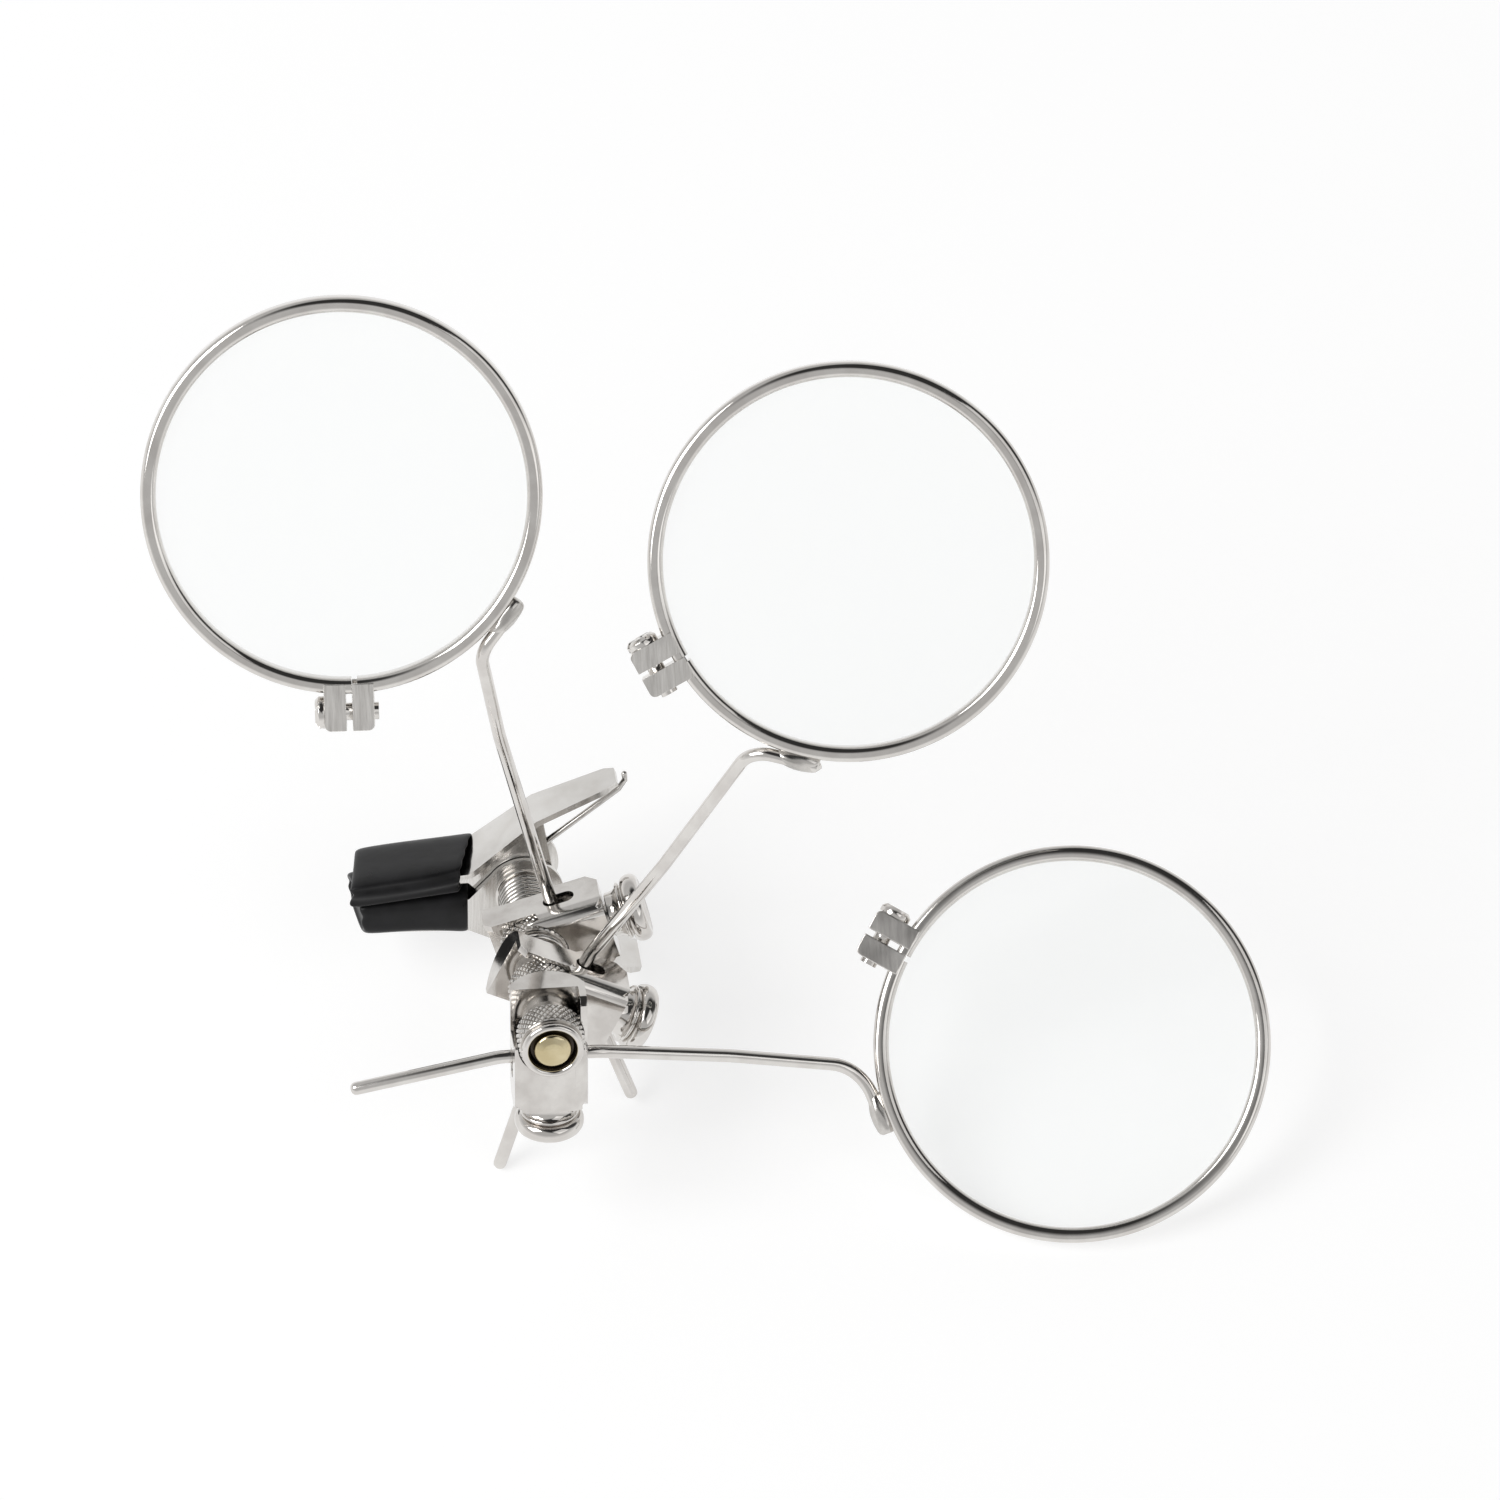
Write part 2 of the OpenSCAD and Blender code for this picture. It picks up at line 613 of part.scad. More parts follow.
// Where round the coil a straight leg to p leaves it.
function leg_turn(p, way) = atan2(p[2], p[0]) + way * acos(torsion_r / norm([p[0], p[2]]));
torsion_curls = 3 + (leg_turn(lower_leg, -1) - leg_turn(upper_leg, 1)) / 360;
torsion_coil = coil(torsion_r, clip_front + torsion_side, clip_back - torsion_side,
    torsion_curls, leg_turn(upper_leg, 1));
torsion_points = concat(
    [[8.3, clip_front + 2.2, 9.9], [8.35, clip_front + 2.0, 9.2], upper_leg],
    torsion_coil,
    [lower_leg]
);
echo(torsion_spring_least_gap = coil_gap(torsion_coil, torsion_wire));
module clip_torsion_spring() {
    color("#8f9092") stand() tube(torsion_points, torsion_wire / 2, 6, [0.3, 1, 0.2]);
}

clip_lower_jaw();
clip_upper_jaw();
lower_jaw_sleeve();
upper_jaw_sleeve();
clip_torsion_spring();
rod();
clip_washer();
friction_spring();
front_spacer();
rear_spacer();
bracket_1();
bracket_2();
bracket_3();
knurled_bush_1();
knurled_bush_2();
knurled_bush_3();
thumb_screw_1();
thumb_screw_2();
thumb_screw_3();
arm_wire_1();
arm_wire_2();
arm_wire_3();
solder_joint_1();
solder_joint_2();
solder_joint_3();
rim_1();
rim_2();
rim_3();
closing_blocks_1();
closing_blocks_2();
closing_blocks_3();
rim_screw_1();
rim_screw_2();
rim_screw_3();
lens_1();
lens_2();
lens_3();
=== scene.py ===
from math import atan2, cos, pi, radians, sin, tan

import bpy
from mathutils import Matrix, Vector


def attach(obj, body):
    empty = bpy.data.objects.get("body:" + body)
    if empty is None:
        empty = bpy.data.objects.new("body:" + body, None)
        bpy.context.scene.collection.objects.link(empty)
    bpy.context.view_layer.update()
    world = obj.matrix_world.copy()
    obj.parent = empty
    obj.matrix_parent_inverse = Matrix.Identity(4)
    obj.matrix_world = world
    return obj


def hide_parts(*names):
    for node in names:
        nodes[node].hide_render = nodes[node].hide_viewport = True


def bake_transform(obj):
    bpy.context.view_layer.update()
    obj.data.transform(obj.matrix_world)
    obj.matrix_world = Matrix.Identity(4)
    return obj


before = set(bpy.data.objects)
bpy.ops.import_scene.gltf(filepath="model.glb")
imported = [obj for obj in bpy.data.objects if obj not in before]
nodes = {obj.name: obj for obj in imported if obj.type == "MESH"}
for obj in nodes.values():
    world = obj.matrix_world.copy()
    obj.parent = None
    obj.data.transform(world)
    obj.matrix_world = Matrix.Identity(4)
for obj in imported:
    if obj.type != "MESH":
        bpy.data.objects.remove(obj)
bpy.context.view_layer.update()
MM = 0.001
HOME = Matrix.Identity(4)


def moved(x, y, z):
    return Matrix.Translation(Vector((x, y, z)) * MM)


def rotated(degrees, axis):
    return Matrix.Rotation(radians(degrees), 4, axis)


# ---- sizes and places, in mm and degrees ----
# The shaft frame has X to the right, Y along the rod towards the clip, and Z square to both.
STAND = moved(-14.058, -15.602, 19.684) @ rotated(2.11, "Y") @ rotated(-26.27, "X")
# Where each bracket sits on the rod, and how far it is turned about it.
STATION = {1: 15.5, 2: 9.0, 3: 2.5}
TURN = {1: 16.5, 2: -26, 3: -90}
# Each lens: its centre, how far it leans back, and where round its rim the closing blocks and the
# soldered joint are. All three are turned the same way from the rod.
LENS_AT = {1: (-15.62, 10.17, 47.18), 2: (24.28, 4.46, 41.78), 3: (42.7, 6.6, -7.3)}
LENS_TURN = -6.1
LEAN = {1: 23.5, 2: 27.5, 3: 33.5}
BLOCK_TURN = {1: 272, 2: 209, 3: 151}
JOINT_TURN = {1: 323, 2: 256, 3: 200}
RIM_R, RIM_THICK, RIM_WIDE = 16.0, 1.25, 2.0
LENS_R, LENS_BULGE, LENS_EDGE = 15.1, 0.7, 0.4
# Each wire: its straight run before and past the joint, how far along it is bowed and which way,
# the radius of its last bend, and the tip of its tail.
BEFORE_JOINT = {1: 3.6, 2: 3.9, 3: 4.1}
PAST_JOINT = {1: 1.4, 2: 2.0, 3: 1.3}
BOW_AT = {1: 0.66, 2: 0.45, 3: 0.5}
BOW = {1: (-0.34, 0, 0), 2: (0.2, 0, -0.17), 3: (0, 0, 0.3)}
LAST_BEND = {1: 2.4, 2: 2.4, 3: 4.0}
TAIL_END = {1: (7.85, 13.2, -14.4), 2: (-3.5, 9.0, -17.6), 3: (-16, 2.5, -4.75)}
# A wire's thickness and the rounding of its tips, how far from the rod it is clamped, how far each
# way it then runs straight, and how far outside the rim's edge it is soldered.
WIRE_D, WIRE_TIP, WIRE_OFFSET, EXIT_AT, WIRE_ON_RIM = 1.08, 0.45, 2.45, 4.0, 0.51
SOLDER_ON_RIM = 0.34
ROD_R, BORE_R = 1.45, 1.5
CLIP_FRONT, CLIP_BACK = 22.0, 27.0
CLIP_MIDDLE = (CLIP_FRONT + CLIP_BACK) / 2
# The gap between a rim's closing blocks, as an angle in radians.
GAP = 0.5 / RIM_R


def along_rod(y):
    """A frame with its Z along the rod, towards the clip, at y on the rod's axis."""
    return STAND @ moved(0, y, 0) @ rotated(-90, "X")


def bracket_frame(i):
    return STAND @ moved(0, STATION[i], 0) @ rotated(-TURN[i], "Y")


def lens_frame(i):
    return STAND @ moved(*LENS_AT[i]) @ rotated(LENS_TURN, "Z") @ rotated(90 - LEAN[i], "X")


# ---- modelling helpers ----
def only(piece):
    """Selects one piece alone and makes it the active one."""
    bpy.ops.object.select_all(action="DESELECT")
    piece.select_set(True)
    bpy.context.view_layer.objects.active = piece


def edit_all():
    """Opens the active piece for editing, with all of it selected."""
    bpy.ops.object.mode_set(mode="EDIT")
    bpy.ops.mesh.select_all(action="SELECT")


def extrude(way):
    bpy.ops.mesh.extrude_region_move(TRANSFORM_OT_translate={"value": way})


def close_up(merge=False):
    """Merges doubled points if told to, turns every face outwards and ends the editing."""
    bpy.ops.mesh.select_all(action="SELECT")
    if merge:
        bpy.ops.mesh.remove_doubles(threshold=0.001 * MM)
    bpy.ops.mesh.normals_make_consistent(inside=False)
    bpy.ops.object.mode_set(mode="OBJECT")


def pick(piece, mode, wanted):
    """Selects in edit mode just the faces or edges that a test picks."""
    if piece.mode == "OBJECT":
        only(piece)
    bpy.ops.object.mode_set(mode="EDIT")
    bpy.ops.mesh.select_mode(type=mode)
    bpy.ops.mesh.select_all(action="DESELECT")
    bpy.ops.object.mode_set(mode="OBJECT")
    for part in (piece.data.polygons if mode == "FACE" else piece.data.edges):
        part.select = wanted(part)
    bpy.ops.object.mode_set(mode="EDIT")


def put(piece, name, place, smooth=35):
    """Names a piece, carries its mesh to its place and shades it."""
    only(piece)
    piece.name = name
    piece.data.name = name
    piece.matrix_world = place @ piece.matrix_world
    bpy.ops.object.transform_apply(location=True, rotation=True, scale=True)
    bpy.ops.object.shade_smooth_by_angle(angle=radians(smooth))
    return piece


def apply_modifiers(piece):
    only(piece)
    for m in list(piece.modifiers):
        bpy.ops.object.modifier_apply(modifier=m.name)


def copied(pattern, name, place, smooth):
    """A copy of a finished piece, with a mesh of its own, carried to its place."""
    twin = bpy.data.objects.new(name, pattern.data.copy())
    bpy.context.scene.collection.objects.link(twin)
    return put(twin, name, place, smooth)


def turned(name, rings, place, sides=96, smooth=35):
    """A piece turned on a lathe and closed at both ends: rings are (height, radius) along Z."""
    bpy.ops.object.select_all(action="DESELECT")
    z, r = rings[0]
    bpy.ops.mesh.primitive_circle_add(vertices=sides, radius=r * MM, fill_type="NGON",
                                      location=(0, 0, z * MM))
    piece = bpy.context.object
    edit_all()
    for z2, r2 in rings[1:]:
        extrude((0, 0, (z2 - z) * MM))
        f = r2 / r
        bpy.ops.transform.resize(value=(f, f, 1), center_override=(0, 0, z2 * MM))
        z, r = z2, r2
    close_up()
    return put(piece, name, place, smooth)


def finished_copy(node, name, edge=0.0, steps=3, smooth=40):
    """A copy of a CAD solid with its triangles merged and its edges broken by a small bevel."""
    piece = bpy.data.objects.new(name, nodes[node].data.copy())
    bpy.context.scene.collection.objects.link(piece)
    only(piece)
    piece.data.name = name
    piece.data.materials.clear()
    bpy.ops.mesh.customdata_custom_splitnormals_clear()
    edit_all()
    bpy.ops.mesh.remove_doubles(threshold=0.002 * MM)
    if edge:
        bpy.ops.mesh.dissolve_limited(angle_limit=radians(1))
    bpy.ops.object.mode_set(mode="OBJECT")
    if edge:
        bevel = piece.modifiers.new("edge", "BEVEL")
        bevel.width = edge * MM
        bevel.segments = steps
        bevel.limit_method = "ANGLE"
        bevel.angle_limit = radians(38)
        bevel.miter_outer = "MITER_ARC"
        apply_modifiers(piece)
    bpy.ops.object.shade_smooth_by_angle(angle=radians(smooth))
    if edge:
        # The wide faces stay flat to the eye, and only the broken edges are shaded round.
        piece.modifiers.new("flat_faces", "WEIGHTED_NORMAL").keep_sharp = True
        apply_modifiers(piece)
    return piece


def bent_rod(name, corners, radii, r, tip):
    """A round wire drawn straight from corner to corner and spun round each bend. Its two ends are
    rounded by the tip's radius."""
    corners = [Vector(c) * MM for c in corners]
    way = (corners[1] - corners[0]).normalized()
    bpy.ops.object.select_all(action="DESELECT")
    bpy.ops.mesh.primitive_circle_add(vertices=20, radius=(r - tip) * MM, fill_type="NGON",
                                      location=corners[0],
                                      rotation=way.to_track_quat("Z", "Y").to_euler())
    piece = bpy.context.object
    bpy.ops.object.transform_apply(location=True, rotation=True, scale=True)
    edit_all()
    at = corners[0]

    def draw(to, factor=1.0):
        nonlocal at
        extrude(to - at)
        if factor != 1.0:
            bpy.ops.transform.resize(value=(factor,) * 3, center_override=to)
        at = to

    def tip_r(angle):
        return r - tip + tip * sin(radians(angle))

    # Each step of a rounded tip: how far along it is, and how much wider the wire is than before.
    rounds = [(1 - cos(radians(a)), tip_r(a) / tip_r(a - 30)) for a in (30, 60, 90)]
    for ahead, factor in rounds:
        draw(corners[0] + way * tip * MM * ahead, factor)
    for b, c, bend_r in zip(corners[1:], corners[2:], radii):
        out = (c - b).normalized()
        k = way.angle(out)
        start = b - way * bend_r * MM * tan(k / 2)
        draw(start)
        inward = (out - way * out.dot(way)).normalized()
        bpy.ops.mesh.spin(steps=10, angle=-k, center=start + inward * bend_r * MM,
                          axis=way.cross(out).normalized())
        at = b + out * bend_r * MM * tan(k / 2)
        way = out
    end = corners[-1]
    draw(end - way * tip * MM)
    for ahead, factor in reversed(rounds):
        draw(end - way * tip * MM * ahead, 1 / factor)
    close_up(merge=True)
    return put(piece, name, STAND, 50)


def wire_corners(i):
    """The corners of an arm's wire, from its tail to its soldered tip, in the shaft frame. Between
    the bracket and the rim it is bowed a little, as hand-bent wire is."""
    lens_to_shaft = STAND.inverted() @ lens_frame(i)
    joint_r = RIM_R + WIRE_ON_RIM

    def by_rim(along):
        a = radians(JOINT_TURN[i])
        spot = Vector((joint_r * cos(a) - along * sin(a), joint_r * sin(a) + along * cos(a), 0))
        return lens_to_shaft @ (spot * MM) / MM

    a = radians(TURN[i])
    clamp = Vector((0, STATION[i], 0)) + WIRE_OFFSET * Vector((cos(a), 0, sin(a)))
    across = EXIT_AT * Vector((-sin(a), 0, cos(a)))
    out, last = clamp + across, by_rim(-BEFORE_JOINT[i])
    bowed = out.lerp(last, BOW_AT[i]) + Vector(BOW[i])
    return [Vector(TAIL_END[i]), clamp - across, out, bowed, last, by_rim(PAST_JOINT[i])]


def wire_coil(name, r, wire, y0, y1, curls, start):
    """A coil of round wire about the rod, from y0 to y1, that begins at an angle."""
    sides, steps_a_curl = 10, 24
    bpy.ops.object.select_all(action="DESELECT")
    bpy.ops.mesh.primitive_circle_add(vertices=sides, radius=wire / 2 * MM, fill_type="NOTHING",
                                      location=(r * MM, 0, 0), rotation=(pi / 2, 0, 0))
    piece = bpy.context.object
    bpy.ops.object.transform_apply(location=True, rotation=True, scale=True)
    screw = piece.modifiers.new("coil", "SCREW")
    screw.axis = "Z"
    screw.angle = 2 * pi * curls
    screw.screw_offset = (y1 - y0) * MM
    screw.iterations = 1
    screw.steps = screw.render_steps = steps_a_curl * curls
    screw.use_merge_vertices = False
    apply_modifiers(piece)
    edit_all()
    bpy.ops.mesh.fill_holes(sides=sides + 1)
    close_up()
    return put(piece, name, along_rod(y0) @ rotated(start, "Z"), 60)


# ---- materials ----
def srgb(text):
    """An sRGB hex colour as linear RGBA."""
    vals = [int(text[k:k + 2], 16) / 255 for k in (0, 2, 4)]
    return [v / 12.92 if v <= 0.04045 else ((v + 0.055) / 1.055) ** 2.4 for v in vals] + [1.0]


def add_node(tree, kind, inputs=None, stops=(), **settings):
    """Adds a node, sets what it is told, links the sockets it is given and sets any ramp stops."""
    n = tree.nodes.new(kind)
    for k, v in settings.items():
        setattr(n, k, v)
    for k, v in (inputs or {}).items():
        if isinstance(v, bpy.types.NodeSocket):
            tree.links.new(v, n.inputs[k])
        else:
            n.inputs[k].default_value = v
    while stops and len(n.color_ramp.elements) < len(stops):
        n.color_ramp.elements.new(0.5)
    for k, (pos, col) in enumerate(stops):
        n.color_ramp.elements[k].position = pos
        n.color_ramp.elements[k].color = col
    return n


def new_material(name, **surface):
    m = bpy.data.materials.new(name)
    m.use_nodes = True
    tree = m.node_tree
    tree.nodes.clear()
    shader = add_node(tree, "ShaderNodeBsdfPrincipled", surface)
    add_node(tree, "ShaderNodeOutputMaterial", {"Surface": shader.outputs["BSDF"]})
    place = add_node(tree, "ShaderNodeTexCoord").outputs["Object"]
    return m, tree, shader, place


def plated_metal(name, light, dark, rough, grain_mm=0.35, relief_mm=0.012):
    """Bright plating over polished metal: nearly a mirror, with polishing haze, fine pits and a
    slow waviness that bends its reflections."""
    m, tree, shader, place = new_material(name, Metallic=1.0)
    haze = add_node(tree, "ShaderNodeTexNoise",
                    {"Vector": place, "Scale": 1 / (2.2 * MM), "Detail": 4.0}).outputs["Fac"]
    pits = add_node(tree, "ShaderNodeTexNoise",
                    {"Vector": place, "Scale": 1 / (grain_mm * MM), "Detail": 3.0}).outputs["Fac"]
    colour = add_node(tree, "ShaderNodeValToRGB", {"Fac": haze},
                      stops=[(0.35, srgb(dark)), (0.62, srgb(light))])
    tree.links.new(colour.outputs["Color"], shader.inputs["Base Color"])
    haze_rough = add_node(tree, "ShaderNodeMapRange",
                          {"Value": haze, "From Min": 0.3, "From Max": 0.7,
                           "To Min": rough, "To Max": rough + 0.09})
    tree.links.new(haze_rough.outputs["Result"], shader.inputs["Roughness"])
    both = add_node(tree, "ShaderNodeMath", {0: haze, 1: pits}, operation="MULTIPLY")
    bump = add_node(tree, "ShaderNodeBump", {"Height": both.outputs["Value"], "Strength": 0.25,
                                             "Distance": relief_mm * MM})
    tree.links.new(bump.outputs["Normal"], shader.inputs["Normal"])
    return m


def brushed_metal(name, light, dark, rough, line_mm=0.12):
    """Plated steel whose walls keep the tool's fine upright lines; its top stays satin."""
    m, tree, shader, place = new_material(name, Metallic=1.0)
    # The lines fade where a face looks up along the shaft frame's Z.
    facing = add_node(tree, "ShaderNodeVectorMath",
                      {0: add_node(tree, "ShaderNodeTexCoord").outputs["Normal"],
                       1: STAND.to_3x3() @ Vector((0, 0, 1))}, operation="DOT_PRODUCT")
    on_wall = add_node(tree, "ShaderNodeMapRange",
                       {"Value": facing.outputs["Value"], "From Min": 0.35, "From Max": 0.75,
                        "To Min": 1.0, "To Max": 0.06})
    across_lines = add_node(tree, "ShaderNodeMapping",
                            {"Vector": place, "Rotation": LINES_TURN,
                             "Scale": (line_mm * MM, 4 * MM, 4 * MM)}, vector_type="TEXTURE")
    lines = add_node(tree, "ShaderNodeTexNoise",
                     {"Vector": across_lines.outputs["Vector"], "Scale": 1.0, "Detail": 3.0,
                      "Roughness": 0.6})
    haze = add_node(tree, "ShaderNodeTexNoise",
                    {"Vector": place, "Scale": 1 / (2.5 * MM), "Detail": 2.0}).outputs["Fac"]
    seen = add_node(tree, "ShaderNodeMix",
                    {0: on_wall.outputs["Result"], 2: haze, 3: lines.outputs["Fac"]},
                    data_type="FLOAT").outputs[0]
    colour = add_node(tree, "ShaderNodeValToRGB", {"Fac": seen},
                      stops=[(0.32, srgb(dark)), (0.66, srgb(light))])
    tree.links.new(colour.outputs["Color"], shader.inputs["Base Color"])
    haze_rough = add_node(tree, "ShaderNodeMapRange",
                          {"Value": haze, "From Min": 0.3, "From Max": 0.7,
                           "To Min": rough, "To Max": rough + 0.1})
    tree.links.new(haze_rough.outputs["Result"], shader.inputs["Roughness"])
    bump = add_node(tree, "ShaderNodeBump",
                    {"Height": seen, "Strength": 0.25, "Distance": 0.006 * MM})
    tree.links.new(bump.outputs["Normal"], shader.inputs["Normal"])
    return m


def soft_vinyl(name):
    """Black plasticised PVC tube, extruded: deep black and semi-gloss, with rubbed patches and a
    faint ripple."""
    m, tree, shader, place = new_material(name, Metallic=0.0, IOR=1.53)
    shader.inputs["Specular IOR Level"].default_value = 0.22
    shader.inputs["Sheen Weight"].default_value = 0.08
    shader.inputs["Sheen Roughness"].default_value = 0.4
    rub = add_node(tree, "ShaderNodeTexNoise",
                   {"Vector": place, "Scale": 1 / (2.0 * MM), "Detail": 5.0}).outputs["Fac"]
    colour = add_node(tree, "ShaderNodeValToRGB", {"Fac": rub},
                      stops=[(0.4, srgb("141415")), (0.75, srgb("1F1F21"))])
    tree.links.new(colour.outputs["Color"], shader.inputs["Base Color"])
    rub_rough = add_node(tree, "ShaderNodeMapRange",
                         {"Value": rub, "From Min": 0.3, "From Max": 0.7,
                          "To Min": 0.26, "To Max": 0.44})
    tree.links.new(rub_rough.outputs["Result"], shader.inputs["Roughness"])
    ripple = add_node(tree, "ShaderNodeTexNoise",
                      {"Vector": place, "Scale": 1 / (1.1 * MM), "Detail": 3.0})
    bump = add_node(tree, "ShaderNodeBump", {"Height": ripple.outputs["Fac"], "Strength": 0.35,
                                             "Distance": 0.05 * MM})
    tree.links.new(bump.outputs["Normal"], shader.inputs["Normal"])
    return m


def optical_glass(name):
    """Ground and polished crown glass: clear and faintly green, seen mostly by its reflections,
    with a slight smear in its gloss."""
    m, tree, shader, place = new_material(name, Metallic=0.0, IOR=1.52, Alpha=0.05, Roughness=0.02)
    shader.inputs["Base Color"].default_value = srgb("E9F4F0")
    smear = add_node(tree, "ShaderNodeTexNoise",
                     {"Vector": place, "Scale": 1 / (9 * MM), "Detail": 3.0})
    smear_rough = add_node(tree, "ShaderNodeMapRange",
                           {"Value": smear.outputs["Fac"], "From Min": 0.4, "From Max": 0.8,
                            "To Min": 0.01, "To Max": 0.06})
    tree.links.new(smear_rough.outputs["Result"], shader.inputs["Roughness"])
    return m


# The brushed lines run across the shaft frame's X, so they are turned as it is, in radians.
LINES_TURN = (radians(-26.3), radians(2.1), 0)
# Nickel plate on drawn, polished wire and turned heads: the nearest of all to a mirror.
POLISHED = plated_metal("bright_nickel_plate", "DAD7D3", "CFCBC7", rough=0.03, relief_mm=0.006)
# The same plate on a knurl, a little dull and pitted where the tool has pressed.
KNURLED = plated_metal("knurled_nickel_plate", "D8D5D1", "BDBAB6", rough=0.1, grain_mm=0.2,
                       relief_mm=0.01)
# Plate on folded sheet: bright, with the slow waviness of rolled metal.
SHEET = plated_metal("plated_sheet", "D8D5D1", "C6C2BE", rough=0.07, grain_mm=0.5,
                     relief_mm=0.016)
# Pressed spring steel of the clip: satin, with fine lines on its walls.
BRUSHED = brushed_metal("brushed_plated_steel", "DCDAD7", "CFCCC8", rough=0.12)
# Milled blocks: paler, with coarser lines.
MILLED = brushed_metal("milled_nickel_plate", "EFECE8", "C9C6C2", rough=0.17, line_mm=0.3)
# Drawn spring wire: bright but hazy from the die.
SPRING = plated_metal("drawn_spring_wire", "D2CFCB", "BBB8B4", rough=0.1, grain_mm=0.25)
# Turned brass, pale under a worn flash of nickel.
BRASS = plated_metal("pale_turned_brass", "D8CCAA", "C3B590", rough=0.1, grain_mm=0.3,
                     relief_mm=0.01)
# Painted shade: a dark, dull finish for the liner that stands in the shadowed gap round the rod in
# each eyelet's bore.
PAINTED_BORE_SHADE = plated_metal("painted_bore_shade", "4A443E", "2C2825", rough=0.3, grain_mm=0.3,
                    relief_mm=0.02)
# Plated solder: lumpy and duller than the wire that it holds.
SOLDER = plated_metal("plated_solder", "D2CFCB", "B4B1AD", rough=0.16, grain_mm=0.4,
                      relief_mm=0.03)
VINYL = soft_vinyl("black_pvc_tube")
GLASS = optical_glass("clear_lens_glass")


def finish(piece, material, body, slot, *replaced):
    """Gives a piece its material and its body, and hides the nodes it stands for. Its slot is not
    used.
    """
    piece.data.materials.clear()
    piece.data.materials.append(material)
    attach(piece, body)
    if replaced:
        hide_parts(*replaced)


# ---- camera: long lens, from above the front bracket, a touch to its left ----
# The film's width in mm, and in metres how far off the camera is and how wide its picture is there.
FILM, CAMERA_AWAY, PICTURE_WIDE = 36, 2.5, 0.120
to_stand = STAND.to_3x3()
right = Vector((12.43, -1.325, 0)).normalized()
up = Vector((0.73, 6.86, 10.42)).normalized()
back = right.cross(up).normalized()
up = back.cross(right)
target = STAND @ (Vector((17.0, 10.0, 20.65)) * MM)
camera_data = bpy.data.cameras.new("camera")
camera_data.sensor_width = FILM
camera_data.lens = FILM * CAMERA_AWAY / PICTURE_WIDE
camera_data.clip_start = 0.5
camera_data.clip_end = 20
camera = bpy.data.objects.new("camera", camera_data)
bpy.context.scene.collection.objects.link(camera)
axes = Matrix([to_stand @ right, to_stand @ up, to_stand @ back]).transposed()
camera.matrix_world = (Matrix.Translation(target + (to_stand @ back) * CAMERA_AWAY)
                       @ axes.to_4x4())
bpy.context.scene.camera = camera

# ---- rims, lenses, closing blocks, rim screws and solder ----
# The rim's section is a plane with rounded corners, spun round but for the gap between the blocks.
bpy.ops.object.select_all(action="DESELECT")
bpy.ops.mesh.primitive_plane_add(size=1, location=((RIM_R - RIM_THICK / 2) * MM, 0, 0),
                                 rotation=(pi / 2, 0, 0))
rim_ring = bpy.context.object
rim_ring.scale = (RIM_THICK * MM, RIM_WIDE * MM, 1)
bpy.ops.object.transform_apply(location=True, rotation=True, scale=True)
edit_all()
bpy.ops.mesh.bevel(offset=0.5 * MM, segments=6, affect="VERTICES")
bpy.ops.mesh.select_all(action="SELECT")
bpy.ops.mesh.spin(steps=240, angle=2 * pi - GAP, center=(0, 0, 0), axis=(0, 0, 1))
close_up(merge=True)
put(rim_ring, "rim_ring", HOME, 50)

# A lens has a flat back, a ground edge and a low dome, which is part of a ball of this radius.
bulge_r = (LENS_R ** 2 + LENS_BULGE ** 2) / (2 * LENS_BULGE)
dome = [(LENS_EDGE + LENS_BULGE - bulge_r + (bulge_r ** 2 - r * r) ** 0.5, r)
        for r in (14.8, 13, 11, 9, 7, 5, 3, 1, 0.02)]
lens_glass = turned("lens_glass",
                    [(-LENS_EDGE, 0.02), (-LENS_EDGE, 14.8), (-0.32, 14.95), (0.3, 14.95),
                     (LENS_EDGE, 14.85)] + dome, HOME, sides=128, smooth=30)

# The solder has run along the wire's end and on to the rim: a flattened lump, uneven all over.
solder_lump = turned("solder_lump",
                     [(-1.75, 0.3), (-1.7, 0.5), (-1.45, 0.62), (-1.1, 0.72), (-0.7, 0.8),
                      (-0.2, 0.85), (0.4, 0.86), (0.9, 0.82), (1.3, 0.72), (1.55, 0.6),
                      (1.7, 0.4)], HOME, sides=40, smooth=60)
for v in solder_lump.data.vertices:
    a = atan2(v.co.y, v.co.x)
    swell = 1 + 0.07 * sin(3 * a + 900 * v.co.z) + 0.04 * sin(5 * a - 2300 * v.co.z)
    v.co = Vector((v.co.x * swell, v.co.y * swell * 0.82, v.co.z))

for i in (1, 2, 3):
    body = f"arm_{i}"
    at = lens_frame(i)
    gap_at = at @ Matrix.Rotation(radians(BLOCK_TURN[i]) + GAP / 2, 4, "Z")
    finish(copied(rim_ring, f"rim_ring_{i}", gap_at, 50), POLISHED, body, "polished_nickel",
           f"rim_{i}")
    finish(copied(lens_glass, f"lens_glass_{i}", at, 30), GLASS, body, "glass", f"lens_{i}")
    blocks = finished_copy(f"closing_blocks_{i}", f"screw_blocks_{i}", edge=0.16)
    finish(blocks, MILLED, body, "polished_nickel", f"closing_blocks_{i}")
    screw = finished_copy(f"rim_screw_{i}", f"block_screw_{i}", edge=0.05, steps=2)
    finish(screw, POLISHED, body, "polished_nickel", f"rim_screw_{i}")
    bead_at = (at @ rotated(JOINT_TURN[i], "Z") @ moved(RIM_R + SOLDER_ON_RIM, 0, 0)
               @ rotated(-90, "X"))
    finish(copied(solder_lump, f"solder_bead_{i}", bead_at, 60), SOLDER, body, "solder",
           f"solder_joint_{i}")
    wire = bent_rod(f"bent_wire_{i}", wire_corners(i), (5, 5, 30, LAST_BEND[i]), WIRE_D / 2,
                    WIRE_TIP)
    finish(wire, POLISHED, body, "polished_nickel", f"arm_wire_{i}")
